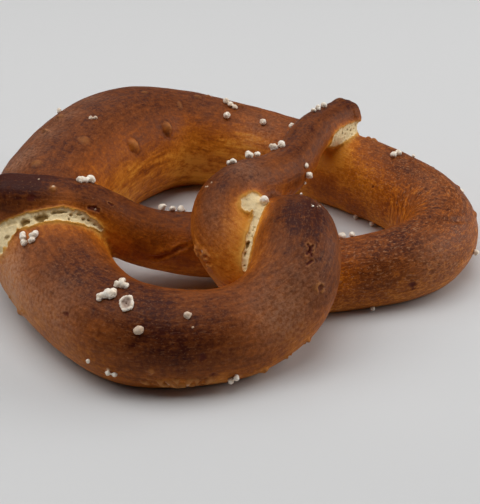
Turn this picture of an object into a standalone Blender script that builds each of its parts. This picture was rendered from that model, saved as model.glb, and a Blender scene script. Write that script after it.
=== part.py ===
"""Soft pretzel: one rope of dough, looped, twisted once and baked into a single closed solid.

Blender's units are metres with +Z up. The pretzel lies on the table at z = 0, with its thick belly
at +Y, the twist at -Y, and the two thin arms crossing the middle hole.
"""

import math

import bmesh
import bpy
from mathutils import Vector

MM = 0.001

# How the dough lies, as shares of the rope's half thickness.
REST = 0.86  # height of a resting rope's centre line, so that its underside is a flat strip
BLUNT = 0.75  # length of the rounded tip of an arm

# How finely the rope is made.
STEPS = 6  # rings between two waypoints
SIDES = 32  # corners of a ring
TIP_RINGS = 5
SKIN_VOXEL = 1.2 * MM  # grain of the skin that joins the strands where they touch
SKIN_SMOOTHING = 4
TRIANGLES = 9000

# The rope's centre line, from the tip of the right arm round to the tip of the left arm.
# Each waypoint is (x, y, half thickness, lift), all in millimetres. The lift is the height of the
# rope over where it would lie on the table.
RIGHT_ARM = [
    (64, 13, 6.4, 24),
    (42, 2, 6.9, 26),
    (15, -19, 7.8, 24),
    (-7, -25, 8.9, 24),
]
RIGHT_TURN_DOWN = [
    (-16, -31, 9.3, 18),
    (-15, -40, 9.6, 8),
    (-5, -46, 10, 0.5),
]
RIGHT_LOOP = [
    (16, -53, 11, 0),
    (35, -58, 12, 0),
    (52, -54, 12, 0),
    (63, -39, 13, 0),
    (63, -11, 13.8, 0),
    (48, 28, 14.5, 0),
]
BELLY = [
    (18, 55, 18.5, 0),
    (-11, 53, 21.7, 0),
    (-43, 31, 19.8, 0),
]
LEFT_LOOP = [
    (-58, 5, 18, 0),
    (-62, -26, 15, 0),
    (-57, -50, 14.2, 0),
    (-41, -62, 13.2, 0),
    (-25, -64, 12.8, 0),
]
LEFT_TURN_OVER = [
    (-13, -64, 13, 7),
    (-5, -56, 12.5, 15),
    (2, -43, 11, 15),
]
LEFT_ARM = [
    (-4, -26, 10.8, 4),
    (-30, -12, 9.5, 8),
    (-48, -5, 8.6, 21),
    (-57, -2, 8.2, 24.5),
    (-69, 6, 7.8, 26.5),
]
ROPE = RIGHT_ARM + RIGHT_TURN_DOWN + RIGHT_LOOP + BELLY + LEFT_LOOP + LEFT_TURN_OVER + LEFT_ARM

# Looks
CRUST_COLOUR = (0.162, 0.048, 0.017, 1.0)
CRUST_ROUGHNESS = 0.45


def clear_scene():
    for thing in list(bpy.data.objects):
        bpy.data.objects.remove(thing)


def centre_and_radius(waypoint):
    """A waypoint as (x, y, z, half thickness) in metres."""
    x, y, half, lift = waypoint
    return Vector((x, y, REST * half + lift, half)) * MM


def catmull_rom(before, start, end, after, t):
    return 0.5 * (
        2 * start
        + (end - before) * t
        + (2 * before - 5 * start + 4 * end - after) * t**2
        + (3 * start - before - 3 * end + after) * t**3
    )


def rope_line(waypoints):
    """A smooth line through the waypoints, as a list of (x, y, z, half thickness)."""
    line = []
    ends = [2 * waypoints[0] - waypoints[1], 2 * waypoints[-1] - waypoints[-2]]
    path = ends[:1] + waypoints + ends[1:]
    for i in range(len(waypoints) - 1):
        for step in range(STEPS):
            line.append(catmull_rom(*path[i : i + 4], step / STEPS))
    line.append(waypoints[-1])
    return line


def rounded_tip(end, inner):
    """Rings that close the rope's end as a blunt half ball, from the outermost inwards."""
    outwards = (end.xyz - inner.xyz).normalized()
    rings = []
    for i in range(TIP_RINGS):
        angle = math.radians(90) * (i + 0.5) / TIP_RINGS
        centre = end.xyz + outwards * end.w * BLUNT * math.cos(angle)
        rings.append(Vector((*centre, end.w * math.sin(angle))))
    return rings


def sweep(line):
    """A closed tube round the line, its rings turned along by the shortest way."""
    rope = bmesh.new()
    across = Vector((0, 0, 1))
    rings = []
    for i, here in enumerate(line):
        ahead = line[min(i + 1, len(line) - 1)]
        behind = line[max(i - 1, 0)]
        along = (ahead.xyz - behind.xyz).normalized()
        across = (across - across.dot(along) * along).normalized()
        sideways = along.cross(across)
        ring = []
        for corner in range(SIDES):
            angle = math.tau * corner / SIDES
            offset = across * math.cos(angle) + sideways * math.sin(angle)
            ring.append(rope.verts.new(here.xyz + offset * here.w))
        rings.append(ring)
    for first, second in zip(rings, rings[1:]):
        for corner in range(SIDES):
            after = (corner + 1) % SIDES
            rope.faces.new((first[corner], first[after], second[after], second[corner]))
    rope.faces.new(reversed(rings[0]))
    rope.faces.new(rings[-1])
    bmesh.ops.recalc_face_normals(rope, faces=rope.faces)
    return rope


def mesh_object(name, shape):
    mesh = bpy.data.meshes.new(name)
    shape.to_mesh(mesh)
    shape.free()
    thing = bpy.data.objects.new(name, mesh)
    bpy.context.scene.collection.objects.link(thing)
    return thing


def table_cutter():
    """A block under the table's surface, which cuts the underside flat."""
    width, depth = 300 * MM, 40 * MM
    shape = bmesh.new()
    bmesh.ops.create_cube(shape, size=1)
    bmesh.ops.scale(shape, verts=shape.verts, vec=(width, width, depth))
    block = mesh_object("table_cutter", shape)
    block.location.z = -depth / 2
    block.hide_render = True
    block.display_type = "WIRE"
    return block


def triangle_count(thing):
    mesh = thing.evaluated_get(bpy.context.evaluated_depsgraph_get()).to_mesh()
    mesh.calc_loop_triangles()
    return len(mesh.loop_triangles)


def crust_material():
    material = bpy.data.materials.new("crust")
    material.use_nodes = True
    surface = material.node_tree.nodes["Principled BSDF"]
    surface.inputs["Base Color"].default_value = CRUST_COLOUR
    surface.inputs["Roughness"].default_value = CRUST_ROUGHNESS
    surface.inputs["Metallic"].default_value = 0.0
    return material


def build_pretzel():
    line = rope_line([centre_and_radius(waypoint) for waypoint in ROPE])
    first_tip = rounded_tip(line[0], line[1])
    last_tip = rounded_tip(line[-1], line[-2])
    pretzel = mesh_object("pretzel", sweep(first_tip + line + last_tip[::-1]))

    skin = pretzel.modifiers.new("join_strands", "REMESH")
    skin.mode = "VOXEL"
    skin.voxel_size = SKIN_VOXEL
    soft = pretzel.modifiers.new("soften_creases", "SMOOTH")
    soft.iterations = SKIN_SMOOTHING
    bpy.context.view_layer.update()
    fewer = pretzel.modifiers.new("fewer_triangles", "DECIMATE")
    fewer.ratio = TRIANGLES / triangle_count(pretzel)
    flat = pretzel.modifiers.new("flat_underside", "BOOLEAN")
    flat.operation = "DIFFERENCE"
    flat.solver = "EXACT"
    flat.object = table_cutter()

    pretzel.data.materials.append(crust_material())


clear_scene()
build_pretzel()
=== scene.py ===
"""The looks of the soft pretzel: its crust with cracks, blisters and scars, and its coarse salt.

Blender's units are metres with +Z up. The pretzel lies on the table at z = 0, with its thick belly
at +Y and the twist at -Y. Shapes are worked out in millimetres, and MM turns them into metres.
Places on the crust are in rope coordinates: how far along the rope from the tip of the right arm,
in millimetres, and how far round it from its top, in degrees.

The rope's waypoints, the camera and the lights started as scratch fits to the photo, and were then
rounded and adjusted by hand. The places of the cracks, marks and salt were read off the photo, and
a scratch script turned them into rope coordinates. The patches of tone, some of them painted
shade, and the patches of dusty bloom and painted sheen were set by comparing renders with the
photo.
"""

import math
import random
from dataclasses import dataclass

import bmesh
import bpy
import numpy as np
from mathutils import Matrix, Vector, noise
from mathutils.bvhtree import BVHTree


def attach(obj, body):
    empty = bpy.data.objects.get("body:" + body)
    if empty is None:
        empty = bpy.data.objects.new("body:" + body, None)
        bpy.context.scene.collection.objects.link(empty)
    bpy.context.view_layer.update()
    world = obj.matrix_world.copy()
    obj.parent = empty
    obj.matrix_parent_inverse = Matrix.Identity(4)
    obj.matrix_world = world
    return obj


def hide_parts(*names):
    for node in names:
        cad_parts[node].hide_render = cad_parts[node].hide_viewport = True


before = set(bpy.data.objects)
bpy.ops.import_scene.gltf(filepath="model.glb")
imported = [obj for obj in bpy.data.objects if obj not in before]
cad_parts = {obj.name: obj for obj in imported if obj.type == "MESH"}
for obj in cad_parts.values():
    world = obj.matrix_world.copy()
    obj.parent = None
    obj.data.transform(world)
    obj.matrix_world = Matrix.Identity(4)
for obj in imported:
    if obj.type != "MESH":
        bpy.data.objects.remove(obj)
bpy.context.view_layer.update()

MM = 0.001

# The rope's centre line, from the tip of the right arm round to the tip of the left arm.
# Each waypoint is (x, y, half thickness, lift), as in the CAD model. The lift is the height of the
# rope over where it would lie on the table.
RIGHT_ARM = [
    (64, 13, 6.4, 24),
    (42, 2, 6.9, 26),
    (15, -19, 7.8, 24),
    (-7, -25, 8.9, 24),
]
RIGHT_TURN_DOWN = [
    (-16, -31, 9.3, 18),
    (-15, -40, 9.6, 8),
    (-5, -46, 10, 0.5),
]
RIGHT_LOOP = [
    (16, -53, 11, 0),
    (35, -58, 12, 0),
    (52, -54, 12, 0),
    (63, -39, 13, 0),
    (63, -11, 13.8, 0),
    (48, 28, 14.5, 0),
]
BELLY = [
    (18, 55, 18.5, 0),
    (-11, 53, 21.7, 0),
    (-43, 31, 19.8, 0),
]
LEFT_LOOP = [
    (-58, 5, 18, 0),
    (-62, -26, 15, 0),
    (-57, -50, 14.2, 0),
    (-41, -62, 13.2, 0),
    (-25, -64, 12.8, 0),
]
LEFT_TURN_OVER = [
    (-13, -64, 13, 7),
    (-5, -56, 12.5, 15),
    (2, -43, 11, 15),
]
LEFT_ARM = [
    (-4, -26, 10.8, 4),
    (-30, -12, 9.5, 8),
    (-48, -5, 8.6, 21),
    (-57, -2, 8.2, 24.5),
    (-69, 6, 7.8, 26.5),
]
ROPE = RIGHT_ARM + RIGHT_TURN_DOWN + RIGHT_LOOP + BELLY + LEFT_LOOP + LEFT_TURN_OVER + LEFT_ARM
REST = 0.86  # height of a resting rope's centre line, as a share of its half thickness
BLUNT = 0.75  # length of an arm's rounded tip, in half thicknesses
EVEN_OUT = 4.0  # reach of the smoothing that takes the kinks out of the line

# How finely the rope and its skin are made
RING_GAP = 1.0
SIDES = 72
TIP_RINGS = 8
SKIN_VOXEL = 1.15
SKIN_SMOOTHING = 5


@dataclass
class Crack:
    """A tear in the crust, where the pale crumb shows between two strands."""

    stations: list  # (x, y, z, half width) on its middle line
    hollows: list  # torn bubbles: (place along, place across, half length, half width, depth)
    glow: list  # reach of the paler crust: (place along, on its upper side, on its lower side)
    pores: float  # share of the crumb that is small pores
    ragged: float  # how uneven its edge is, in half widths


LEFT_CRACK = Crack(
    stations=[
        (-74.6, 3.6, 22.5, 1.2), (-73.5, 1.0, 25.4, 1.8), (-71.5, -2.7, 28.1, 1.9),
        (-69.2, -5.3, 29.6, 2.0), (-66.8, -7.3, 30.7, 2.2), (-62.7, -9.5, 31.7, 2.0),
        (-57.8, -11.4, 31.9, 2.1), (-53.3, -12.6, 30.2, 1.9), (-50.0, -13.7, 28.0, 1.4),
        (-47.6, -14.5, 25.6, 0.7),
    ],
    hollows=[
        (10.0, -0.4, 2.2, 0.7, 0.3), (14.6, 0.2, 1.9, 1.3, 1.0), (19.4, 0.1, 2.5, 1.5, 1.1),
        (24.6, -0.9, 2.7, 0.6, 0.8), (28.3, -0.3, 0.7, 0.45, 0.8), (30.6, -0.8, 0.9, 0.4, 0.6),
        (32.2, 0.1, 0.6, 0.4, 0.7), (33.9, -0.3, 0.6, 0.35, 0.6), (36.2, 0.1, 0.9, 0.3, 0.5),
    ],
    glow=[(0, 1.2, 0.8), (14, 1.5, 2.4), (22, 1.6, 3.0), (33, 1.5, 4.0), (40, 2.5, 5.0)],
    pores=0.35,
    ragged=0.22,
)
SHOULDER_CRACK = Crack(
    stations=[
        (-71.8, -5.6, 28.2, 1.6), (-74.0, -4.2, 25.0, 3.6), (-76.0, -1.6, 22.0, 5.0),
        (-76.8, 2.5, 19.5, 4.4), (-76.6, 7.0, 17.0, 2.6), (-76.0, 11.0, 15.5, 0.8),
    ],
    hollows=[(2.5, -0.9, 1.2, 0.8, 0.7), (11.0, 1.6, 1.6, 0.9, 0.6)],
    glow=[(0, 0.8, 0.9)],
    pores=0.25,
    ragged=0.22,
)
TWIST_CRACK = Crack(
    stations=[
        (-9.8, -35.1, 32.4, 2.7), (-8.1, -35.5, 32.2, 3.7), (-6.6, -36.0, 31.8, 4.1),
        (-6.4, -37.4, 31.6, 3.4), (-7.0, -38.8, 31.0, 2.3), (-7.9, -40.0, 30.4, 1.7),
        (-8.8, -40.9, 29.3, 1.8), (-10.6, -42.1, 27.6, 1.9), (-12.9, -43.5, 26.0, 1.8),
        (-14.6, -44.8, 24.2, 1.6), (-16.4, -46.3, 22.4, 1.4), (-17.6, -47.6, 20.8, 1.1),
        (-18.3, -48.6, 19.4, 0.6),
    ],
    hollows=[
        (18.3, 0.0, 1.7, 0.45, 1.2), (15.2, -0.4, 0.6, 0.3, 0.6), (13.2, 0.2, 0.5, 0.3, 0.5),
        (21.2, -0.1, 1.0, 0.3, 0.6),
    ],
    glow=[(0, 2.2, 3.0), (6, 1.6, 4.0), (14, 1.4, 4.5), (25, 2.0, 5.0)],
    pores=0.30,
    ragged=0.13,
)
RIGHT_CRACK = Crack(
    stations=[
        (47.8, -2.4, 29.3, 2.8), (50.0, -1.0, 28.9, 3.3), (53.8, 1.2, 28.7, 2.9),
        (59.3, 3.2, 28.4, 2.5), (63.6, 6.0, 28.0, 2.2), (67.2, 9.2, 27.2, 1.6),
    ],
    hollows=[
        (6.1, -0.4, 0.9, 0.6, 0.9), (8.4, 0.5, 0.5, 0.4, 0.6), (10.6, -0.6, 0.6, 0.4, 0.7),
        (12.7, 0.1, 0.9, 0.5, 0.9), (15.4, 0.4, 0.6, 0.4, 0.7), (17.6, -0.3, 0.7, 0.4, 0.8),
    ],
    glow=[(0, 0.9, 5.0), (12, 0.9, 3.5), (24, 0.9, 2.0)],
    pores=0.35,
    ragged=0.16,
)
CRACKS = [LEFT_CRACK, SHOULDER_CRACK, TWIST_CRACK, RIGHT_CRACK]
CRACK_STEP = 0.4
CRACK_REACH = 18.0  # how far from a crack its effects are looked for
FILL_SHARE = 1.25  # size of the crumb that fills a crease, in half widths of the crack
FILL_SINK = 0.75  # how deep that crumb's middle lies, in half widths
RECESS = 0.6  # how deep the crumb lies under the torn rims
RIM = 0.3  # how far those rims curl up

# Blisters: (along, around, radius along, radius around, height, paleness); the paleness also sets
# how deep the painted shade round the blister's foot is
BLISTERS = [
    (332, -59, 2.3, 3.3, 2.0, 0.55), (356, -60, 2.6, 3.1, 1.7, 0.55),
    (395, 5, 2.4, 2.2, 0.6, 0.35), (307, -4, 1.9, 1.7, 0.8, 0.3),
    (374, -25, 2.8, 2.4, 0.4, 0.3), (3, 12, 3.2, 2.6, 0.9, 0.1), (1, -45, 3.6, 3.4, 0.9, 0.0),
    (2, -80, 3.6, 3.4, 1.3, 0.0), (331, -11, 1.8, 1.6, 0.4, 0.3), (290, 0, 1.9, 1.6, 1.1, 0.2),
    (316, -27, 1.2, 2.2, 0.4, 0.25),
]
# Scabs, which are rough raised flakes of crust: (along, around, radius, height, paleness)
SCABS = [
    (364, 15, 2.8, 1.5, 0.4), (373, 18, 2.4, 1.2, 0.4), (393, 36, 1.8, 1.2, 0.3),
    (303, 5, 2.2, 0.8, 0.3), (292, 4, 1.8, 0.9, 0.4), (432, 100, 2.2, 0.8, 0.7),
    (435, 114, 2.0, 0.8, 0.8), (440, 97, 2.4, 0.9, 0.4), (477, 99, 1.6, 0.6, 0.7),
    (100.5, 98, 3.4, 0.9, 1.2), (102, 87, 3.2, 0.8, 1.2), (104, 101, 2.8, 0.7, 1.2),
    (476, 117, 2.6, 0.8, 1.3), (479, 120, 3.2, 1.0, 1.4), (482, 120, 3.8, 1.3, 1.6),
    (485, 120, 3.4, 1.1, 1.6), (488, 119, 3.0, 0.9, 1.4), (494, 121, 2.4, 0.8, 1.2),
    (501, 126, 2.2, 0.9, 1.2), (507, 126, 2.0, 0.8, 1.0), (512, 123, 2.0, 0.8, 0.8),
    (469, 106, 1.6, 0.6, 0.8), (232, 7, 1.8, 0.8, 0.8), (236, 15, 2.0, 1.0, 0.8),
    (239, 19, 1.8, 0.8, 0.7), (228, 12, 1.5, 0.6, 0.6), (6, 8, 2.2, 0.5, 0.1),
    (633, -32, 1.6, 0.7, 0.9), (213, 40, 1.6, 0.6, 0.3), (203, 52, 1.8, 0.6, 0.3),
    (192, 62, 2.0, 0.6, 0.4),
]
# Scorched spots: (along, around, radius, depth)
SPOTS = [
    (458, 58, 1.1, 0.2), (487, 79, 1.4, 0.15), (160, 93, 2.2, 0.1), (221, -67, 0.6, 0.4),
    (638, -57, 1.6, 0.2), (489, 106, 1.2, 0.2), (526.4, 21.5, 0.8, 0.2), (622.6, -59, 1.2, 0.15),
]
# Craters, which are burst blisters with an orange lip: (along, around, radius, depth)
CRATERS = [(520.6, 60, 1.3, 0.35)]
# Cuts, which are scorched strokes: (first end, second end, half width, depth)
CUTS = [
    ((527.0, 17.5), (525.9, 24.5), 0.35, 0.4), ((527.3, 23.5), (525.7, 20.0), 0.35, 0.4),
    ((526.4, 21.0), (525.4, 26.5), 0.3, 0.4), ((523.9, 30.0), (523.4, 26.5), 0.3, 0.3),
    ((624.6, -61.5), (621.6, -60.0), 0.4, 0.3), ((623.0, -57.0), (621.3, -56.0), 0.3, 0.3),
    ((619.3, -34.0), (617.9, -36.5), 0.3, 0.3),
]
# Flecks of dried salt: (along, around, radius)
DRIED_SALT = [
    (633.4, -29, 0.6), (637.6, -8.3, 0.3), (88.4, 32, 0.3), (87.6, 27, 0.3), (87.0, 22, 0.35),
    (539.4, 32, 0.35), (538.8, 27, 0.3), (538.4, 18, 0.35), (101, 84, 0.5), (480, 117, 0.5),
    (484, 118, 0.6), (493, 121, 0.8), (485.4, 44, 0.3), (469, 104, 0.6), (622.6, -59, 0.35),
]
DRIED_RISE = 0.15
# Creases: (points on the skin, half width, depth); the depth also sets how deep the painted shade
# in the groove is
ARM_CREASE = [(-24.4, -24.6, 17.9), (-28.3, -22.6, 16.0), (-32.6, -20.8, 14.7), (-35, -20, 15)]
LOOP_CREASE = [
    (43.5, -47, 16),
    (41.7, -53.6, 21.5),
    (48, -58, 22),
    (53.1, -59.5, 20.6),
    (59, -59, 18.6),
]
CROOK_CREASE = [(50.1, -39.0, 15.9), (53.9, -39.5, 20.9), (56.9, -40.7, 22.9)]
CREASES = [(ARM_CREASE, 0.6, 1.0), (LOOP_CREASE, 0.8, 0.5), (CROOK_CREASE, 0.6, 0.3)]
# How the crust's tone, from 0 at its darkest to 1 at its palest, follows from its place
TONE_TOP = 0.16
TONE_SIDE = 0.72
TONE_SHELTERED = 0.28
BALL_GAP = 6  # the rope stands in for what shields the crust as balls this far apart
SHADE = 1.1
# How the tone changes along the rope: (along, change)
BAKE = [
    (0, -0.06), (30, -0.02), (60, 0.12), (75, 0.0), (95, 0.12), (110, 0.12), (130, 0.14),
    (150, 0.06), (180, 0.1), (205, 0.14), (235, 0.16), (260, 0.18), (280, 0.22), (310, 0.08),
    (340, 0.06), (370, 0.1), (400, 0.06), (430, 0.12), (450, 0.14), (475, 0.04), (490, 0.16),
    (515, 0.16), (530, 0.06), (555, 0.0), (590, 0.02), (620, -0.06), (647, -0.2),
]
# Patches paler or darker than their surroundings: (along, around, radius, change of tone). Most
# are baked so; the dark ones noted below are painted shade.
TONES = [
    # the right arm and the twist; the dark patch under the right arm is painted shade
    (4, -75, 5, -0.12), (62, -90, 8, -0.4), (67, -35, 7, 0.28), (88, 30, 8, -0.15),
    (93, 32, 6, 0.06), (95, -50, 7, 0.3), (98, -12, 6, 0.17), (102, 82, 5, 0.12),
    (105, 55, 9, 0.12),
    # the right loop; its dark patches low on the side, under the arm, are painted shade
    (142, 51, 6, 0.22), (148, 80, 9, -0.16), (160, 10, 8, -0.16), (192, -67, 6, -0.14),
    (199, -29, 6, 0.04), (208, -87, 6, -0.16), (215, -24, 8, -0.13), (221, -104, 6, -0.1),
    (222, -72, 6, 0.1), (230, -118, 6, -0.36), (232, -88, 7, 0.04), (239, -24, 6, -0.12),
    (240, -50, 10, 0.3), (242, -98, 7, -0.44), (243, -6, 6, -0.18), (246, -42, 6, 0.42),
    (248, -97, 6, -0.18), (292, -20, 6, 0.1),
    # the belly; the dark patch low on its inner side is painted shade
    (306, -32, 7, -0.1), (308, -55, 8, 0.1), (314, -66, 7, 0.22), (330, 0, 20, -0.08),
    (349, -108, 9, -0.26), (360, -63, 7, 0.12), (373, -85, 8, -0.06), (375, -3, 10, -0.07),
    (383, -54, 9, 0.2),
    # the left loop; the large dark patches on its front are partly darker baking and partly painted
    # shade
    (427, 55, 6, 0.28), (431, 8, 5, 0.16), (431, 80, 8, 0.16), (433, 95, 8, 0.2),
    (440, 66, 14, 0.16), (442, -85, 6, 0.4), (445, 100, 9, 0.12), (446, 10, 9, -0.17),
    (456, 10, 9, -0.17), (460, 100, 8, 0.14), (477, 103, 5, 0.08), (480, 112, 5, 0.12),
    (482, 72, 15, -0.47), (482, 124, 4, 0.4), (485, 11, 8, 0.2), (491, 126, 4, 0.35),
    (498, 105, 6, -0.26), (500, 127, 4, 0.35), (508, 48, 9, 0.08), (520, 70, 11, -0.2),
    (524, -39, 6, 0.14), (530, -40, 6, 0.18), (536, 8, 13, -0.26), (539, -45, 6, 0.3),
    # the left arm
    (591, -94, 4, -0.02), (598, -116, 5, 0.15), (602, -95, 4, -0.1), (603, -34, 6, 0.1),
    (613, -88, 5, 0.13), (631, -36, 6, 0.25), (631, -62, 4, 0.06), (640, -20, 14, -0.12),
]
# Greyish haze, partly dusty bloom and partly painted sheen: (along, around, radius, share)
DUST_AND_SHEEN = [
    (79, -18, 6, 0.16), (98, 32, 8, 0.12), (167, 72, 8, 0.15), (200, -5, 10, 0.04),
    (278, -50, 9, 0.16), (348, 13, 6, 0.16), (361, 13, 6, 0.18), (374, 16, 6, 0.22),
    (386, 24, 6, 0.22), (393, 34, 7, 0.24), (430, 64, 7, 0.34), (433, 90, 8, 0.4),
    (443, 76, 7, 0.28), (453, 62, 8, 0.18), (457, 82, 8, 0.12), (511, 57, 8, 0.3),
    (521, 34, 6, 0.1), (524, -39, 7, 0.05),
]
# How much the crust shows a pale net of fine cracks: (along, share)
NET = [
    (0, 0.1), (105, 0.15), (125, 0.8), (205, 0.9), (235, 0.6), (250, 0.3), (300, 0.15), (420, 0.15),
    (450, 0.3), (500, 0.2), (520, 0.3), (545, 0.2), (580, 0.1), (647, 0.05),
]
# The belly's golden band on its inner side: (along, around at its upper edge)
BAND_EDGE = [
    (272, -36), (283, -42), (293, -56), (302, -66), (311, -78), (325, -80), (338, -78), (350, -75),
    (371, -70), (392, -72),
]
BAND_WAVE = 7  # how far the upper edge wanders, in degrees
BAND_FADE = (6, -10)  # from none to full across the upper edge, in degrees
BAND_FOOT = (-140, -112)  # from none to full above the lower edge, in degrees
BAND_START = (268, 282)  # from none to full at its two ends, along the rope
BAND_END = (396, 378)
BAND_PALER = 0.24
# The crook of the right loop, where wrinkles fan out from a point of the skin
CROOK = (46.5, -42.5)
CROOK_ALONG = (168, 216)
CROOK_REACH = 17
FAN_SPREAD = 9  # length of pattern for each radian round the crook

# Unevenness of the whole skin: (size of its lumps, their height, seed)
LUMPS = [(15, 0.35, 1), (5, 0.12, 2)]
LONG_LUMPS = (1.6, 0.07, 4)
LONG_STRETCH = 5  # how far those are drawn out along the rope

# The crumb in a crack
PORE_CELL = 1.3
PORE_DEPTH = 0.5
RIM_PLACE = 1.12  # the curled rim's middle, in half widths of the crack
RIM_WIDTH = 0.16

# The steps that make faces finer: how far past a crack's edge, and how far past a mark's
REFINE_STEPS = [(2.5, 0.8), (1.0, 0.0)]


def smoothstep(low, high, value):
    t = np.clip((value - low) / (high - low), 0, 1)
    return t * t * (3 - 2 * t)


def unit(vectors):
    return vectors / np.linalg.norm(vectors, axis=-1, keepdims=True)


def catmull_rom(before, start, end, after, t):
    return 0.5 * (
        2 * start
        + (end - before) * t
        + (2 * before - 5 * start + 4 * end - after) * t**2
        + (3 * start - before - 3 * end + after) * t**3
    )


def evened(rows, reach):
    """Rows at even steps, blurred along their length without pulling the ends in."""
    steps = np.arange(-3 * reach, 3 * reach + 1)
    weights = np.exp(-0.5 * (steps / reach) ** 2)
    spare = len(steps) // 2
    before = 2 * rows[0] - rows[1 : spare + 1][::-1]
    after = 2 * rows[-1] - rows[-spare - 1 : -1][::-1]
    padded = np.vstack([before, rows, after])
    blurred = [np.convolve(column, weights / weights.sum(), "valid") for column in padded.T]
    return np.stack(blurred, axis=1)


def lengths_along(points):
    """How far along their line points are."""
    steps = np.linalg.norm(np.diff(points[:, :3], axis=0), axis=1)
    return np.concatenate([[0], np.cumsum(steps)])


def read_rows(rows, places, at):
    """Rows that are given at some places, read at others."""
    return np.stack([np.interp(at, places, column) for column in rows.T], axis=1)


def drawn_line(corners, count):
    """Points at even steps along a line through the corners."""
    places = np.arange(len(corners))
    return read_rows(np.array(corners), places, np.linspace(0, places[-1], count))


class Rope:
    """The rope's centre line at even steps, and the frame that rope coordinates are read in."""

    def __init__(self, waypoints):
        points = np.array([(x, y, REST * half + lift, half) for x, y, half, lift in waypoints])
        path = np.vstack([2 * points[0] - points[1], points, 2 * points[-1] - points[-2]])
        t = np.linspace(0, 1, 40, endpoint=False)[:, None]
        pieces = [catmull_rom(*path[i : i + 4], t) for i in range(len(points) - 1)]
        line = np.vstack(pieces + [points[-1:]])
        lengths = lengths_along(line)
        self.along = np.linspace(0, lengths[-1], round(lengths[-1] / RING_GAP) + 1)
        even = evened(read_rows(line, lengths, self.along), EVEN_OUT / RING_GAP)
        self.centre = even[:, :3]
        self.half = even[:, 3]
        self.tangent = unit(np.gradient(self.centre, axis=0))
        self.up = unit(np.array([0, 0, 1]) - self.tangent * self.tangent[:, 2:])
        self.side = np.cross(self.tangent, self.up)

    def ray(self, along, around):
        """The centre, outward direction and half thickness at a place in rope coordinates."""
        i = int(np.argmin(abs(self.along - along)))
        angle = math.radians(around)
        out = self.up[i] * math.cos(angle) + self.side[i] * math.sin(angle)
        return self.centre[i], out, self.half[i]

    def direction(self, along):
        return self.tangent[int(np.argmin(abs(self.along - along)))]

    def coordinates(self, points):
        """The points' places along the rope and round it, in radians, and their distances from
        its centre line."""
        nearest = np.empty(len(points), int)
        for start in range(0, len(points), 4000):
            block = points[start : start + 4000, None]
            gaps = np.linalg.norm(block - self.centre[None], axis=2) - self.half
            nearest[start : start + 4000] = gaps.argmin(axis=1)
        offset = points - self.centre[nearest]
        ahead = (offset * self.tangent[nearest]).sum(axis=1)
        upwards = (offset * self.up[nearest]).sum(axis=1)
        sideways = (offset * self.side[nearest]).sum(axis=1)
        around = np.arctan2(sideways, upwards)
        return self.along[nearest] + ahead, around, np.hypot(upwards, sideways)


def add_tube(shape, rope):
    """The rope as one closed tube with blunt round tips."""
    tips = []
    for last in (0, -1):
        outwards = rope.tangent[last] * (1 if last else -1)
        tip = []
        for i in range(TIP_RINGS):
            angle = math.radians(90) * (i + 0.5) / TIP_RINGS
            centre = rope.centre[last] + outwards * rope.half[last] * BLUNT * math.cos(angle)
            tip.append((centre, rope.half[last] * math.sin(angle), last))
        tips.append(tip)
    middle = [(rope.centre[i], rope.half[i], i) for i in range(len(rope.along))]
    angles = np.arange(SIDES) * math.tau / SIDES
    loops = []
    for centre, half, i in tips[0] + middle + tips[1][::-1]:
        offsets = rope.up[i] * np.cos(angles)[:, None] + rope.side[i] * np.sin(angles)[:, None]
        loops.append([shape.verts.new(point) for point in (centre + offsets * half) * MM])
    for first, second in zip(loops, loops[1:]):
        for corner in range(SIDES):
            after = (corner + 1) % SIDES
            shape.faces.new((first[corner], second[corner], second[after], first[after]))
    shape.faces.new(loops[0])
    shape.faces.new(reversed(loops[-1]))
    bmesh.ops.recalc_face_normals(shape, faces=shape.faces)


def add_ball(shape, centre, radius):
    place = Matrix.Translation(Vector(centre) * MM)
    bmesh.ops.create_icosphere(shape, subdivisions=2, radius=radius * MM, matrix=place)


def new_object(name, mesh):
    thing = bpy.data.objects.new(name, mesh)
    bpy.context.scene.collection.objects.link(thing)
    return thing


def mesh_from(name, shape):
    mesh = bpy.data.meshes.new(name)
    shape.to_mesh(mesh)
    shape.free()
    return mesh


def joined_skin(name, mesh, voxel, smoothing):
    """The mesh's shapes joined under one skin, as a new mesh."""
    rough = new_object("rough_" + name, mesh)
    skin = rough.modifiers.new("join", "REMESH")
    skin.mode = "VOXEL"
    skin.voxel_size = voxel * MM
    soft = rough.modifiers.new("soften", "SMOOTH")
    soft.iterations = smoothing
    graph = bpy.context.evaluated_depsgraph_get()
    joined = bpy.data.meshes.new_from_object(rough.evaluated_get(graph))
    joined.name = name
    bpy.data.objects.remove(rough)
    return joined


def vertex_rows(mesh, field):
    """A field of a mesh's vertices, as rows of three numbers."""
    rows = np.empty(len(mesh.vertices) * 3, np.float32)
    mesh.vertices.foreach_get(field, rows)
    return rows.reshape(-1, 3).astype(float)


def read_skin(mesh):
    """The vertices in millimetres, and their normals."""
    return vertex_rows(mesh, "co") / MM, vertex_rows(mesh, "normal")


def write_points(mesh, points):
    mesh.vertices.foreach_set("co", (points * MM).astype(np.float32).ravel())
    mesh.update()


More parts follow.
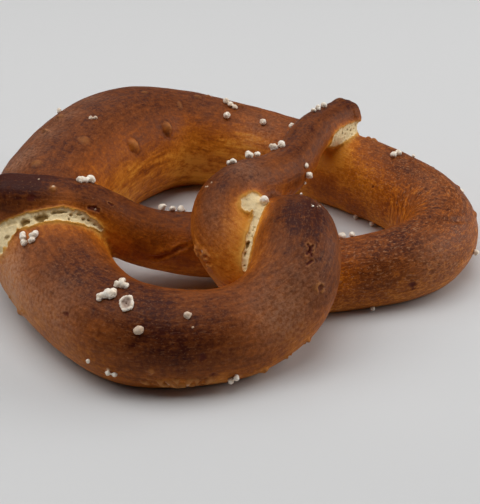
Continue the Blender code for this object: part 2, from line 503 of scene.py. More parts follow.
class Tear:
    """A crack laid over the skin: its middle line at even steps, with directions along it, out of
    the skin and across it towards its lower side."""

    def __init__(self, crack, points, normals):
        stations = np.array(crack.stations)
        lengths = lengths_along(stations)
        self.crack = crack
        self.place = np.arange(0, lengths[-1], CRACK_STEP)
        line = read_rows(stations, lengths, self.place)
        self.middle = line[:, :3]
        self.half = line[:, 3]
        self.along = unit(np.gradient(self.middle, axis=0))
        apart = np.linalg.norm(points[None] - self.middle[:, None], axis=2)
        near = (apart < 3 + self.half[:, None]).astype(float)
        self.out = unit(near @ normals)
        self.across = unit(np.cross(self.along, self.out))

    def locate(self, points):
        """Which points are near, and their place along and across the crack, their distance from
        its middle line and its half width there."""
        low = self.middle.min(axis=0) - CRACK_REACH
        high = self.middle.max(axis=0) + CRACK_REACH
        near = np.flatnonzero(((points > low) & (points < high)).all(axis=1))
        apart = np.linalg.norm(points[near, None] - self.middle[None], axis=2)
        closest = apart.argmin(axis=1)
        offset = points[near] - self.middle[closest]
        place = self.place[closest] + (offset * self.along[closest]).sum(axis=1)
        across = (offset * self.across[closest]).sum(axis=1)
        return near, place, across, apart.min(axis=1), self.half[closest]


def base_skin(rope):
    """The rope's strands under one skin, with crumb filling the creases where the cracks are.
    Returns the skin and the tears over it."""
    shape = bmesh.new()
    add_tube(shape, rope)
    bare = joined_skin("bare", mesh_from("rope", shape), 2 * SKIN_VOXEL, SKIN_SMOOTHING)
    tears = [Tear(crack, *read_skin(bare)) for crack in CRACKS]
    shape = bmesh.new()
    add_tube(shape, rope)
    for tear in tears:
        for middle, out, half in list(zip(tear.middle, tear.out, tear.half))[::2]:
            add_ball(shape, middle - out * FILL_SINK * half, FILL_SHARE * half)
    return joined_skin("crust", mesh_from("rope", shape), SKIN_VOXEL, SKIN_SMOOTHING), tears


def fine_places(skin):
    """Places where a mark needs finer faces, as rows of (x, y, z, reach)."""
    marks = [(along, around, 1.3 * max(long, wide)) for along, around, long, wide, _, _ in BLISTERS]
    marks += [(along, around, radius) for along, around, radius, *_ in SCABS + SPOTS + CRATERS]
    marks += [(*end, 1.5) for first, second, *_ in CUTS for end in (first, second)]
    marks += DRIED_SALT
    rows = [(*skin.spot(along, around)[0], reach + 0.5) for along, around, reach in marks]
    for corners, width, _ in CREASES:
        rows += [(*point, 2 * width) for point in drawn_line(corners, 24)]
    return np.array(rows)


def refine(mesh, tears, places):
    """Finer faces at the cracks and the marks, in two steps."""
    for reach, spare in REFINE_STEPS:
        points, _ = read_skin(mesh)
        near = np.zeros(len(points), bool)
        for tear in tears:
            index, _, _, distance, half = tear.locate(points)
            near[index] |= distance < half + reach
        for x, y, z, radius in places:
            near |= np.linalg.norm(points - (x, y, z), axis=1) < radius + spare
        shape = bmesh.new()
        shape.from_mesh(mesh)
        shape.verts.ensure_lookup_table()
        edges = [e for e in shape.edges if near[e.verts[0].index] and near[e.verts[1].index]]
        bmesh.ops.subdivide_edges(shape, edges=edges, cuts=1, use_grid_fill=True)
        shape.to_mesh(mesh)
        shape.free()


def noise_at(points, size, seed):
    """Smooth noise, about -1 to 1, with lumps of the given size in millimetres."""
    shifted = points / size + np.array([31.7, 17.3, 11.9]) * seed
    return np.array([noise.noise(point) for point in shifted.tolist()])


def cells_at(points, size, seed):
    """Cell pattern: 0 on the walls between cells of the given size, rising inwards."""
    shifted = points / size + np.array([13.1, 7.7, 5.3]) * seed
    gaps = [noise.voronoi(point)[0] for point in shifted.tolist()]
    return np.array([second - first for first, second, *_ in gaps])


class Skin:
    """A skin over the rope, with places on it in rope coordinates."""

    def __init__(self, rope, mesh):
        points, _ = read_skin(mesh)
        polygons = [tuple(face.vertices) for face in mesh.polygons]
        self.rope = rope
        self.tree = BVHTree.FromPolygons(points.tolist(), polygons)

    def spot(self, along, around):
        """The point of the skin at a place, and its outward direction."""
        centre, out, half = self.rope.ray(along, around)
        start = Vector(centre + out * (half + 3))
        hit, normal, _, _ = self.tree.ray_cast(start, Vector(-out))
        return np.array(hit), np.array(normal)

    def nearest(self, point):
        """The point of the skin that is nearest to another, and its outward direction."""
        hit, normal, _, _ = self.tree.find_nearest(Vector(point))
        return np.array(hit), np.array(normal)

    def distance(self, points, along, around):
        """How far points are from a place on the skin."""
        return np.linalg.norm(points - self.spot(along, around)[0], axis=1)


def mark(masks, name, values, near=slice(None)):
    """Raises a mask to the values where they are higher."""
    masks[name][near] = np.maximum(masks[name][near], values)


def dome(distance, radius):
    """A round bump of height 1 that ends smoothly at the radius."""
    return np.clip(1 - (distance / radius) ** 2, 0, 1) ** 2


def add_blisters(skin, points, height, masks):
    rough = noise_at(points, 1.8, seed=3)
    for place, angle, long, wide, rise, paleness in BLISTERS:
        centre, _ = skin.spot(place, angle)
        forward = skin.rope.direction(place)
        offset = points - centre
        ahead = offset @ forward
        aside = np.sqrt(np.maximum((offset**2).sum(axis=1) - ahead**2, 0))
        distance = np.hypot(ahead / long, aside / wide) * (1 + 0.2 * rough)
        cap = np.clip(1 - distance**2, 0, 1) ** 1.4
        height += rise * cap
        mark(masks, "pale", paleness * cap)
        # painted shade: a darker ring round the blister's foot
        mark(masks, "painted_shade", paleness * dome(abs(distance - 1.1), 0.35))


def add_scabs(skin, points, height, masks):
    rough = noise_at(points, 1.3, seed=3)
    for place, angle, radius, rise, paleness in SCABS:
        distance = skin.distance(points, place, angle)
        flake = dome(distance, radius) * smoothstep(-0.35, 0.25, rough)
        height += rise * flake
        mark(masks, "pale", paleness * flake)


def add_dried_salt(skin, points, height, masks):
    rough = noise_at(points, 1.3, seed=3)
    for place, angle, radius in DRIED_SALT:
        distance = skin.distance(points, place, angle) * (1 + 0.8 * rough)
        fleck = smoothstep(radius, 0.6 * radius, distance)
        height += DRIED_RISE * fleck
        mark(masks, "dried", fleck)


def add_scars(skin, points, height, masks):
    rough = noise_at(points, 1.0, seed=3)
    for place, angle, radius, depth in SPOTS:
        distance = skin.distance(points, place, angle) * (1 + 0.8 * rough)
        pit = dome(distance, radius)
        height -= depth * pit
        mark(masks, "scar", pit)
    for place, angle, radius, depth in CRATERS:
        distance = skin.distance(points, place, angle) * (1 + 0.3 * rough)
        pit = smoothstep(radius, 0.3 * radius, distance)
        lip = dome(abs(distance - radius), 0.6 * radius) * smoothstep(-0.4, 0.2, rough)
        height += 0.8 * depth * lip - depth * pit
        mark(masks, "scar", 0.5 * pit)
        mark(masks, "pale", 0.6 * lip)


def add_cuts(skin, points, height, masks):
    rough = noise_at(points, 1.0, seed=3)
    for first, second, width, depth in CUTS:
        ends = [skin.spot(*end)[0] for end in (first, second)]
        apart = [np.linalg.norm(points - point, axis=1) for point in drawn_line(ends, 20)]
        distance = np.min(apart, axis=0) * (1 + 0.5 * rough)
        groove = np.exp(-((distance / width) ** 2))
        lip = dome(abs(distance - 2 * width), width)
        height += 0.3 * depth * lip - depth * groove
        mark(masks, "scar", np.clip(1.2 * groove, 0, 1))
        mark(masks, "pale", 0.45 * lip * smoothstep(-0.3, 0.3, rough))


def add_creases(points, height, masks):
    for corners, width, depth in CREASES:
        line = drawn_line(corners, 60)
        near = np.flatnonzero(np.linalg.norm(points - line.mean(axis=0), axis=1) < 30)
        apart = np.linalg.norm(points[near, None] - line[None], axis=2)
        distance = apart.min(axis=1)
        fade = np.sin(np.pi * np.clip(apart.argmin(axis=1) / len(line), 0.1, 0.9))
        groove = np.exp(-((distance / width) ** 2))
        bulge = np.exp(-(((distance - 2.2 * width) / width) ** 2))
        height[near] += depth * fade * (0.7 * bulge - groove)
        # painted shade along the crease's groove
        mark(masks, "painted_shade", depth * fade * groove, near)


def tear_open(tear, points, height, masks):
    """Opens a crack: ragged rims, and between them pale crumb with torn bubbles and pores, with
    painted shade in their depths. The crust beside it is paler and more golden, as its mask says."""
    near, place, across, distance, half = tear.locate(points)
    rough = noise_at(points[near], 1.5, seed=3)
    fine = noise_at(points[near], 0.7, seed=6)
    edge = distance / half + tear.crack.ragged * (rough + 0.4 * fine)
    crumb = 1 - smoothstep(0.88, 1.0, edge)
    depth = np.zeros(len(near))
    for at, aside, length, width, deep in tear.crack.hollows:
        oval = np.hypot((place - at) / length, (across - aside) / width)
        oval += 0.3 * rough + 0.15 * fine
        depth = np.maximum(depth, deep * (1 - smoothstep(0.55, 1.0, oval)))
    bubbles = cells_at(points[near], PORE_CELL, seed=5)
    chance = noise_at(points[near], 2.5, seed=7)
    limit = 0.75 - 0.5 * tear.crack.pores
    pores = smoothstep(limit, limit + 0.2, bubbles + 0.25 * chance)
    depth = np.maximum(depth, PORE_DEPTH * pores) * (1 - smoothstep(0.7, 0.92, edge))
    rim = np.exp(-(((edge - RIM_PLACE) / RIM_WIDTH) ** 2))
    height[near] *= 1 - crumb
    height[near] += RIM * rim + crumb * (0.08 * fine - RECESS * (1 - np.clip(edge, 0, 1) ** 2))
    height[near] -= depth * crumb
    mark(masks, "crumb", crumb, near)
    # painted shade: the deeper the crumb lies in a bubble or pore, the darker it is painted
    mark(masks, "hollow_shade", crumb * np.clip(depth, 0, 1), near)
    lower = smoothstep(-0.5, 0.5, across / half)
    places, above, below = zip(*tear.crack.glow)
    reach = np.interp(place, places, above) * (1 - lower) + np.interp(place, places, below) * lower
    beyond = np.maximum(distance - half, 0) * (1 + 0.35 * rough)
    mark(masks, "glow", np.exp(-beyond / reach), near)
    mark(masks, "gold", np.exp(-beyond / (0.1 + 0.33 * reach)), near)


def shape_crust(rope, mesh, tears):
    """Gives the skin its unevenness, blisters, scabs, scars and cracks. Returns the masks that
    colour it, and the coordinates of the patterns that run along the rope and round its crook."""
    skin = Skin(rope, mesh)
    refine(mesh, tears, fine_places(skin))
    points, normals = read_skin(mesh)
    along, around, out = rope.coordinates(points)
    lie = np.stack([along, out * np.cos(around), out * np.sin(around)], axis=1)

    height = sum(rise * noise_at(points, size, seed) for size, rise, seed in LUMPS)
    size, rise, seed = LONG_LUMPS
    height += rise * noise_at(drawn_out(lie, LONG_STRETCH), size, seed)
    names = ("crumb", "hollow_shade", "pale", "painted_shade", "dried", "scar", "glow", "gold")
    masks = {name: np.zeros(len(points)) for name in names}
    for add_some in (add_blisters, add_scabs, add_dried_salt, add_scars, add_cuts):
        add_some(skin, points, height, masks)
    add_creases(points, height, masks)
    for tear in tears:
        tear_open(tear, points, height, masks)

    # shelter from the oven's heat, which pales the tone, and from light, whose shade the colour
    # paints in
    masks["sheltered_and_shaded"] = shielding(rope, points, normals, along)
    masks["band"] = golden_band(along, np.degrees(around), lie)
    masks["tone"] = TONE_TOP + TONE_SIDE * (1 - normals[:, 2]) / 2
    masks["tone"] += TONE_SHELTERED * masks["sheltered_and_shaded"] ** 2 + BAND_PALER * masks["band"]
    masks["tone"] += np.interp(along, *zip(*BAKE)) + patches(skin, points, TONES)
    masks["net"] = np.interp(along, *zip(*NET))
    # greyish haze: partly dusty bloom, partly painted sheen
    masks["dust_and_sheen"] = patches(skin, points, DUST_AND_SHEEN)
    masks["crook"], fan = crook_fan(points, along)
    points = points + normals * height[:, None]
    points[:, 2] = np.maximum(points[:, 2], 0)
    write_points(mesh, points)
    return masks, {"lie": lie, "fan": fan}


def drawn_out(lie, stretch):
    """The coordinates of a pattern that is drawn out along the rope."""
    return lie / np.array([stretch, 1, 1])


def crook_fan(points, along):
    """Where the crook is, and the coordinates of a pattern that fans out from its middle."""
    offset = points[:, :2] - CROOK
    radius = np.hypot(*offset.T)
    turn = np.arctan2(offset[:, 1], offset[:, 0])
    share = smoothstep(CROOK_REACH, 0.6 * CROOK_REACH, radius)
    share *= (along > CROOK_ALONG[0]) & (along < CROOK_ALONG[1])
    return share, np.stack([radius, FAN_SPREAD * turn, 0 * radius], axis=1)


def golden_band(along, around, lie):
    """Where the belly's golden band is, whose upper edge is wavy."""
    edge = np.interp(along, *zip(*BAND_EDGE))
    wavy = around + BAND_WAVE * noise_at(drawn_out(lie, 3), 2.5, seed=8)
    share = smoothstep(*BAND_FADE, wavy - edge) * smoothstep(*BAND_FOOT, around)
    return share * smoothstep(*BAND_START, along) * smoothstep(*BAND_END, along)


def shielding(rope, points, normals, along):
    """How much other stretches of the rope shield each point from the oven's heat and from light, 0
    to 1.
    """
    total = np.zeros(len(points))
    for i in range(0, len(rope.along), round(BALL_GAP / RING_GAP)):
        towards = rope.centre[i] - points
        distance = np.linalg.norm(towards, axis=1)
        facing = np.clip((normals * towards).sum(axis=1) / distance, 0, 1)
        elsewhere = smoothstep(1.5, 2.5, abs(rope.along[i] - along) / rope.half[i])
        total += elsewhere * facing * (rope.half[i] / distance) ** 2
    return 1 - np.exp(-SHADE * total)


def patches(skin, points, changes):
    """The sum of round patches with soft edges."""
    total = np.zeros(len(points))
    for place, angle, radius, change in changes:
        distance = skin.distance(points, place, angle)
        total += change * np.exp(-((distance / radius) ** 2))
    return total


def add_masks(mesh, masks, coordinates):
    for name, values in masks.items():
        layer = mesh.attributes.new(name, "FLOAT", "POINT")
        layer.data.foreach_set("value", values.astype(np.float32))
    for name, rows in coordinates.items():
        layer = mesh.attributes.new(name, "FLOAT_VECTOR", "POINT")
        layer.data.foreach_set("vector", rows.astype(np.float32).ravel())


def set_inputs(tree, node, inputs):
    """Sets a node's inputs to constants, or links them to other nodes' outputs."""
    for name, value in inputs.items():
        if isinstance(value, bpy.types.NodeSocket):
            tree.links.new(value, node.inputs[name])
        else:
            node.inputs[name].default_value = value


def add_node(tree, kind, inputs=None, **settings):
    """Adds a node with its settings and inputs, and returns it."""
    node = tree.nodes.new("ShaderNode" + kind)
    for name, value in settings.items():
        setattr(node, name, value)
    set_inputs(tree, node, inputs or {})
    return node


def mask(tree, name):
    return add_node(tree, "Attribute", attribute_name=name).outputs["Fac"]


def math_node(tree, operation, *values):
    inputs = dict(enumerate(values))
    return add_node(tree, "Math", inputs, operation=operation).outputs[0]


def noise_node(tree, place, size, detail=2.0, roughness=0.5):
    """Noise from 0 to 1 with lumps of the given size in the place's units."""
    inputs = {"Vector": place, "Scale": 1 / size, "Detail": detail, "Roughness": roughness}
    return add_node(tree, "TexNoise", inputs).outputs["Fac"]


def range_node(tree, value, low, high, to_low=0.0, to_high=1.0):
    inputs = dict(enumerate((value, low, high, to_low, to_high)))
    node = add_node(tree, "MapRange", inputs, interpolation_type="SMOOTHSTEP")
    return node.outputs["Result"]


def mix_colour(tree, share, first, second):
    inputs = {0: share, 6: first, 7: second}
    return add_node(tree, "Mix", inputs, data_type="RGBA").outputs[2]


def mix_value(tree, share, first, second):
    inputs = {0: share, 2: first, 3: second}
    return add_node(tree, "Mix", inputs, data_type="FLOAT").outputs[0]


def scaled(tree, place, scale):
    inputs = {0: place, 1: scale}
    return add_node(tree, "VectorMath", inputs, operation="MULTIPLY").outputs[0]


def ramp_node(tree, value, stops):
    """Colours by value, from stops of (value, colour)."""
    node = add_node(tree, "ValToRGB", {"Fac": value})
    ramp = node.color_ramp
    for element, (position, colour) in zip(ramp.elements, (stops[0], stops[-1])):
        element.position = position
        element.color = (*colour, 1)
    for position, colour in stops[1:-1]:
        ramp.elements.new(position).color = (*colour, 1)
    return node.outputs["Color"]


def millimetres(tree):
    """The place of a point on the piece, in millimetres."""
    metres = add_node(tree, "TexCoord").outputs["Object"]
    return scaled(tree, metres, (1 / MM, 1 / MM, 1 / MM))


def new_material(name):
    """A material, its node tree and its surface node."""
    material = bpy.data.materials.new(name)
    material.use_nodes = True
    return material, material.node_tree, material.node_tree.nodes["Principled BSDF"]


def bumpy(tree, relief, strength, depth):
    """Normals with fine relief, its depth in millimetres."""
    inputs = {"Height": relief, "Strength": strength, "Distance": depth * MM}
    return add_node(tree, "Bump", inputs).outputs["Normal"]


PALEST_TONE = 1.3
CRUST_STOPS = [
    (0.00, (0.045, 0.006, 0.0012)),
    (0.20, (0.110, 0.024, 0.0030)),
    (0.40, (0.175, 0.043, 0.0065)),
    (0.60, (0.260, 0.066, 0.0095)),
    (0.80, (0.380, 0.107, 0.0120)),
    (1.00, (0.540, 0.175, 0.024)),
    (PALEST_TONE, (0.720, 0.310, 0.070)),
]
# the greyish haze of dusty bloom and painted sheen
DUST_AND_SHEEN_COLOUR = (0.50, 0.27, 0.17, 1)
CRUMB = (0.90, 0.75, 0.47, 1)
SHADED_CRUMB = (0.72, 0.53, 0.26, 1)
# painted shade in the crumb's bubbles and pores
HOLLOW_SHADE = (0.34, 0.21, 0.07, 1)
# the tint of the golden band, and of the painted shade where other strands shelter the crust
AMBER_AND_SHADE_TINT = (1, 0.91, 0.42)
GOLDEN = (0.60, 0.30, 0.05, 1)
FLECK = (0.50, 0.24, 0.11, 1)
MARKS = {
    "pale": (0.50, 0.20, 0.055, 1),
    "scar": (0.080, 0.011, 0.005, 1),
    "dried": (0.62, 0.44, 0.30, 1),
}
# Patterns in the crust: (size, detail, roughness)
PATTERNS = {"blotches": (14, 3, 0.55), "mottle": (2.6, 5, 0.65), "grain": (1.0, 2, 0.6)}
# Patterns that are drawn out along the rope: (how far, size, detail)
LONG_PATTERNS = {"streaks": (6, 1.2, 4), "stripes": (10, 2.6, 3)}
# How far masks change the tone: the glow beside the cracks, and painted shade round the blisters
# and in the creases
TONE_MASKS = {"glow": 0.6, "painted_shade": -0.25}
# How far patterns change the tone, and the mask that they keep to
TONE_PATTERNS = [
    ("blotches", 0.4, None),
    ("mottle", 0.72, None),
    ("grain", 0.5, None),
    ("streaks", 0.6, None),
    ("stripes", 1.3, "band"),
    ("streaks", 0.5, "band"),
    ("streaks", 0.9, "crook"),
]
NET_PALER = 0.35


def long_noise(tree, stretch, size, detail):
    """Noise drawn out along the rope, and away from the crook near it."""
    patterns = []
    for name in ("lie", "fan"):
        way = add_node(tree, "Attribute", attribute_name=name).outputs["Vector"]
        way = scaled(tree, way, (1 / stretch, 1, 1))
        patterns.append(noise_node(tree, way, size, detail, 0.6))
    return mix_value(tree, mask(tree, "crook"), *patterns)


def fine_net(tree):
    """The net of fine pale cracks, where veins of noise cross their middle value."""
    veins = long_noise(tree, 2.2, 1.5, 3)
    ridge = math_node(tree, "ABSOLUTE", math_node(tree, "SUBTRACT", veins, 0.5))
    return math_node(tree, "MULTIPLY", range_node(tree, ridge, 0.0, 0.06, 1, 0), mask(tree, "net"))


def crust_tone(tree, patterns):
    """The crust's tone from its masks and patterns."""
    tone = mask(tree, "tone")
    for name, amount in TONE_MASKS.items():
        tone = math_node(tree, "MULTIPLY_ADD", mask(tree, name), amount, tone)
    for name, amount, within in TONE_PATTERNS:
        change = math_node(tree, "SUBTRACT", patterns[name], 0.5)
        if within:
            change = math_node(tree, "MULTIPLY", change, mask(tree, within))
        tone = math_node(tree, "MULTIPLY_ADD", change, amount, tone)
    return math_node(tree, "MULTIPLY_ADD", fine_net(tree), NET_PALER, tone)


def browned(tree, tone, stripes):
    """The crust's colour by tone, more amber in its golden band, and painted shade: more amber
    where other strands shelter it.
    """
    share = math_node(tree, "MULTIPLY", tone, 1 / PALEST_TONE)
    colour = ramp_node(tree, share, [(at / PALEST_TONE, stop) for at, stop in CRUST_STOPS])
    amber = scaled(tree, colour, AMBER_AND_SHADE_TINT)
    # painted shade: more amber where other strands shelter the crust
    sheltered_and_shaded = range_node(tree, mask(tree, "sheltered_and_shaded"), 0.25, 0.65)
    colour = mix_colour(tree, sheltered_and_shaded, colour, amber)
    stripe = math_node(tree, "MULTIPLY", mask(tree, "band"), range_node(tree, stripes, 0.55, 0.42))
    return mix_colour(tree, stripe, colour, amber)


def flecked(tree, colour, place, grain):
    """The colour with dusty bloom and painted sheen, pale dashes in the net and pale specks."""
    # dusty bloom and painted sheen, mixed in as a greyish haze
    dust_and_sheen = range_node(tree, grain, 0.3, 0.7, 0.4, 1.6)
    dust_and_sheen = math_node(tree, "MULTIPLY", mask(tree, "dust_and_sheen"), dust_and_sheen)
    colour = mix_colour(tree, dust_and_sheen, colour, DUST_AND_SHEEN_COLOUR)
    dashes = range_node(tree, long_noise(tree, 1.8, 0.55, 1), 0.57, 0.72, 0, 0.50)
    dashes = math_node(tree, "MULTIPLY", dashes, mask(tree, "net"))
    colour = mix_colour(tree, dashes, colour, FLECK)
    specks = range_node(tree, noise_node(tree, place, 0.55, 1), 0.66, 0.76, 0, 0.18)
    return mix_colour(tree, specks, colour, FLECK)


def marked(tree, colour, place):
    """The colour with golden edges beside the cracks, marks, and the cracks' crumb with painted
    shade in its pores.
    """
    golden = range_node(tree, mask(tree, "gold"), 0.2, 0.9, 0, 0.85)
    colour = mix_colour(tree, golden, colour, GOLDEN)
    for name, mark_colour in MARKS.items():
        colour = mix_colour(tree, mask(tree, name), colour, mark_colour)
    crumb = mix_colour(tree, noise_node(tree, place, 1.4, 3, 0.6), SHADED_CRUMB, CRUMB)
    # painted shade in the crumb's bubbles and pores
    crumb = mix_colour(tree, mask(tree, "hollow_shade"), crumb, HOLLOW_SHADE)
    return mix_colour(tree, mask(tree, "crumb"), colour, crumb)


def crust_material():
    material, tree, surface = new_material("crust")
    place = millimetres(tree)
    patterns = {name: noise_node(tree, place, *values) for name, values in PATTERNS.items()}
    patterns |= {name: long_noise(tree, *values) for name, values in LONG_PATTERNS.items()}
    colour = browned(tree, crust_tone(tree, patterns), patterns["stripes"])
    colour = flecked(tree, colour, place, patterns["grain"])
    roughness = range_node(tree, patterns["mottle"], 0.3, 0.7, 0.45, 0.58)
    relief = math_node(tree, "ADD", patterns["streaks"], patterns["grain"])
    inputs = {
        "Base Color": marked(tree, colour, place),
        "Roughness": math_node(tree, "MULTIPLY_ADD", mask(tree, "crumb"), 0.35, roughness),
        "Specular IOR Level": 0.12,
        "Normal": bumpy(tree, relief, 0.8, 0.2),
    }
    set_inputs(tree, surface, inputs)
    return material


# Salt lumps, which run together into grains where they touch: (along, around, size)
SALT = [
    # the belly
    (296, -2, 2.6), (294, -7, 2.4), (292, -10, 2.0), (294, -30, 2.8), (279, -25, 2.6),
    # the right arm
    (79, 34, 1.8), (79, 22, 2.2), (73, 22, 2.8), (69, 25, 2.0), (57, 30, 2.6), (55, 16, 2.6),
    (57, -66, 1.5), (57, -90, 2.6), (58, -108, 1.1), (23, 10, 1.8), (20, 6, 2.2), (16, 4, 2.4),
    # the left arm
    (627.6, 2, 2.2), (626.4, 8, 2.2), (625.4, 13, 2.0), (624.4, 18, 3.1), (598, 25, 2.6),
    (594, 23, 2.2), (591, 22, 2.5),
    # the left loop
    (427.2, 33, 2.1), (428.5, 34, 2.2), (430.0, 36, 2.2), (431.4, 30, 1.4), (430.9, 27.5, 1.8),
    (430.4, 25, 2.4), (430.0, 22.5, 2.3), (465.7, 4, 1.9),
    (466.3, 1, 2.3), (467.2, -1, 1.8), (464.9, -4, 2.2), (464.2, 28.5, 1.7), (464.7, 25, 2.2),
    (465.3, 21, 2.6), (465.8, 17.5, 2.6), (466.6, 20, 2.0),
    (465, 101, 1.3), (469, 106, 1.5), (470, 109, 1.6), (493, 121, 2.0), (494, 116, 1.9),
    # the right loop
    (223, -6, 2.4), (223, 3, 2.4), (220, 23, 1.5), (145, -29, 2.7), (148, -27, 2.0),
    (232, -141, 2.0), (223, -139, 1.9), (150, 136, 1.7),
    # the twist
    (537, 19, 0.8), (546, 20, 0.8),
    # the far side
    (318, 58, 2.5), (321, 52, 2.0), (341, 82, 2.7), (352, 44, 2.2), (377, 74, 2.4), (303, 96, 2.0),
    (265, 48, 2.5), (262, 55, 2.0), (244, 80, 2.4), (206, 74, 2.7), (204, 66, 2.0), (183, 96, 2.2),
    (405, 88, 2.5), (409, 80, 2.0), (420, 60, 2.4), (28, 70, 2.2), (39, 84, 1.8), (64, 76, 2.4),
]
# Lumps that are half sunk in the crust and stained by it: (along, around, size)
SUNK_SALT = [(474.4, 50, 2.8), (484.6, 30, 2.2), (361.6, -13.5, 1.7), (359.9, -16.5, 1.6)]
# Lumps in the twist, where two strands hide each other: (x, y, z, size)
TWIST_SALT = [(-4.3, -37.3, 32.7, 3.1), (-3.4, -37.7, 32.4, 2.6)]
SALT_VOXEL = 0.2
UNEVENNESS = [(1.1, 0.22, 9), (0.5, 0.08, 2)]  # (size, height, seed)
# A lump is a ball with smaller balls grown onto it. These are all in sizes of the lump.
BALL = 0.46  # radius of the ball
LIFT = 0.3  # how far the ball's middle stands out of the crust
SINK = 0.3  # how much deeper it lies in a sunk lump
GROWTHS = 5  # how many smaller balls
GROWTH_REACH = (0.12, 0.3)  # how far they are from the ball's middle
GROWTH = (0.24, 0.4)  # their radius
STAIN_REACH = 1.2
# The half clear crystal, a flat lump with a dent in it: its (along, around), its half width and
# half length, and the direction of its length
CRYSTAL = (470.4, 23)
CRYSTAL_HALF = (1.7, 2.5)
CRYSTAL_LENGTHWAYS = (0.53, 0.85, 0.0)
CRYSTAL_REACH = 4.0
CRYSTAL_BALLS = 16
SALT_STOPS = [(0.3, (0.78, 0.62, 0.45)), (0.6, (0.92, 0.84, 0.72))]
CLEAR = (0.36, 0.25, 0.19, 1)
STAIN = (0.50, 0.30, 0.17, 1)


def add_grain(shape, centre, out, size, sunk, chance):
    """One lump of salt."""
    middle = centre + out * size * (LIFT - sunk)
    add_ball(shape, middle, size * BALL)
    for _ in range(GROWTHS):
        aside = unit(np.array([chance.gauss(0, 1) for _ in range(3)]))
        place = middle + aside * size * chance.uniform(*GROWTH_REACH)
        add_ball(shape, place, size * chance.uniform(*GROWTH))


def crystal_frame(skin):
    """The crystal's middle, and its directions out of the skin, across it and along it."""
    centre, out = skin.spot(*CRYSTAL)
    across = unit(np.cross(out, np.array(CRYSTAL_LENGTHWAYS)))
    return centre, out, across, np.cross(across, out)


def add_crystal(shape, crystal, chance):
    """A flat lump, thick at its rim and thin in its middle."""
    centre, out, across, lengthways = crystal
    for step in range(CRYSTAL_BALLS):
        angle = math.tau * step / CRYSTAL_BALLS
        reach = chance.uniform(0.72, 0.95)
        aside = across * CRYSTAL_HALF[0] * math.cos(angle) * reach
        aside += lengthways * CRYSTAL_HALF[1] * math.sin(angle) * reach
        add_ball(shape, centre + aside + out * chance.uniform(0.2, 0.5), chance.uniform(0.45, 0.7))
        add_ball(shape, centre + 0.5 * aside - 0.2 * out, 0.6)


def salt_shape(skin, crystal):
    """All the salt's balls, lump after lump."""
    chance = random.Random(7)
    shape = bmesh.new()
    for along, around, size in SALT:
        add_grain(shape, *skin.spot(along, around), size, 0.0, chance)
    for *point, size in TWIST_SALT:
        add_grain(shape, *skin.nearest(point), size, 0.0, chance)
    for along, around, size in SUNK_SALT:
        add_grain(shape, *skin.spot(along, around), size, SINK, chance)
    add_crystal(shape, crystal, chance)
    return shape


def clearness(points, crystal):
    """How clear the salt is: the middle of the crystal is, and nothing else."""
    centre, _, across, lengthways = crystal
    offset = points - centre
    half_width, half_length = CRYSTAL_HALF
    inside = np.hypot(offset @ across / half_width, offset @ lengthways / half_length)
    return smoothstep(1.0, 0.5, inside) * (np.linalg.norm(offset, axis=1) < CRYSTAL_REACH)


def stains(skin, points):
    """Which points are on a lump that is sunk in the crust."""
    stained = np.zeros(len(points))
    for along, around, size in SUNK_SALT:
        stained[skin.distance(points, along, around) < STAIN_REACH * size] = 1
    return stained


def make_salt(skin):
    crystal = crystal_frame(skin)
    balls = mesh_from("salt", salt_shape(skin, crystal))
    mesh = joined_skin("salt", balls, SALT_VOXEL, 2)
    points, normals = read_skin(mesh)
    height = sum(rise * noise_at(points, size, seed) for size, rise, seed in UNEVENNESS)
    points += normals * height[:, None]
    points[:, 2] = np.maximum(points[:, 2], 0)
    write_points(mesh, points)
    masks = {"clear": clearness(points, crystal), "stained": stains(skin, points)}
    add_masks(mesh, masks, {})
    return new_object("salt", mesh)


def salt_material():
    material, tree, surface = new_material("salt")
    place = millimetres(tree)
    colour = ramp_node(tree, noise_node(tree, place, 1.2, 2), SALT_STOPS)
    colour = mix_colour(tree, mask(tree, "clear"), colour, CLEAR)
    stain = range_node(tree, mask(tree, "stained"), 0, 1, 0, 0.6)
    inputs = {
        "Base Color": mix_colour(tree, stain, colour, STAIN),
        "Roughness": 0.5,
        "Normal": bumpy(tree, noise_node(tree, place, 0.3, 2), 0.4, 0.1),
    }
    set_inputs(tree, surface, inputs)
    return material


# The camera looks at AIM, in metres, from a distance, at an azimuth and elevation in degrees
AIM = (0.00473, -0.00916, 0.0)
AZIMUTH, ELEVATION = -32.0, 29.0
DISTANCE = 0.340
SENSOR = 36.0
FOCAL_LENGTH = 71.43
FLOOR_RADIUS = 6.0
FLOOR_GREY = 0.62


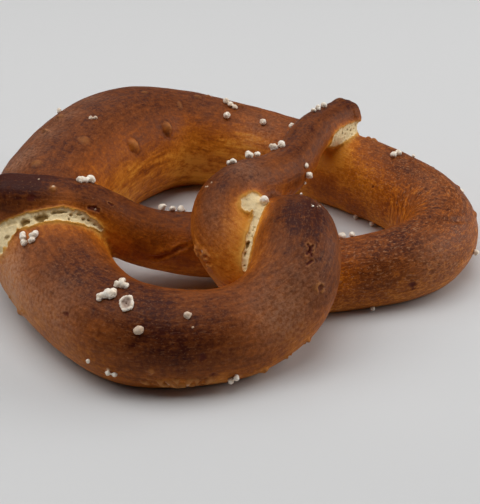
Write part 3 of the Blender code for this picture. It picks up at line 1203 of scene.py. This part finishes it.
def add_camera():
    azimuth, elevation = math.radians(AZIMUTH), math.radians(ELEVATION)
    across, height = math.cos(elevation), math.sin(elevation)
    back = Vector((math.sin(azimuth) * across, -math.cos(azimuth) * across, height))
    data = bpy.data.cameras.new("camera")
    data.sensor_width = SENSOR
    data.lens = FOCAL_LENGTH
    camera = new_object("camera", data)
    camera.location = Vector(AIM) + back * DISTANCE
    camera.rotation_mode = "QUATERNION"
    camera.rotation_quaternion = back.to_track_quat("Z", "Y")
    bpy.context.scene.camera = camera


def add_floor():
    shape = bmesh.new()
    bmesh.ops.create_circle(shape, cap_ends=True, segments=64, radius=FLOOR_RADIUS)
    floor = new_object("floor", mesh_from("floor", shape))
    material, tree, surface = new_material("floor")
    grey = (FLOOR_GREY, FLOOR_GREY, FLOOR_GREY, 1)
    inputs = {"Base Color": grey, "Roughness": 0.8, "Specular IOR Level": 0.2}
    set_inputs(tree, surface, inputs)
    floor.data.materials.append(material)


# Softboxes: (place, size, power), in metres and watts. All face the pretzel.
SOFTBOXES = {
    "overhead": ((0.00, 0.00, 1.20), 0.9, 7.5),
    "left": ((-0.59, 0.45, 0.95), 0.9, 5.8),
    "right": ((1.02, -0.37, 0.51), 0.9, 8.4),
    "back": ((0.45, 0.77, 0.80), 0.9, 2.0),
}
WORLD_GREY = 0.03


def add_light():
    world = bpy.data.worlds.new("studio")
    world.use_nodes = True
    grey = (WORLD_GREY, WORLD_GREY, WORLD_GREY, 1)
    world.node_tree.nodes["Background"].inputs["Color"].default_value = grey
    bpy.context.scene.world = world
    for name, (place, size, power) in SOFTBOXES.items():
        data = bpy.data.lights.new(name, "AREA")
        data.shape = "SQUARE"
        data.size = size
        data.energy = power
        light = new_object(name, data)
        light.location = place
        light.rotation_mode = "QUATERNION"
        light.rotation_quaternion = light.location.to_track_quat("Z", "Y")


rope = Rope(ROPE)
crust_mesh, tears = base_skin(rope)
add_masks(crust_mesh, *shape_crust(rope, crust_mesh, tears))
crust_mesh.materials.append(crust_material())
crust_mesh.shade_smooth()
crust = new_object("crust", crust_mesh)
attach(crust, "root")
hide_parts("pretzel")

salt = make_salt(Skin(rope, crust_mesh))
salt.data.materials.append(salt_material())
salt.data.shade_smooth()
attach(salt, "root")

add_camera()
add_floor()
add_light()
bpy.context.scene.view_settings.view_transform = "Standard"
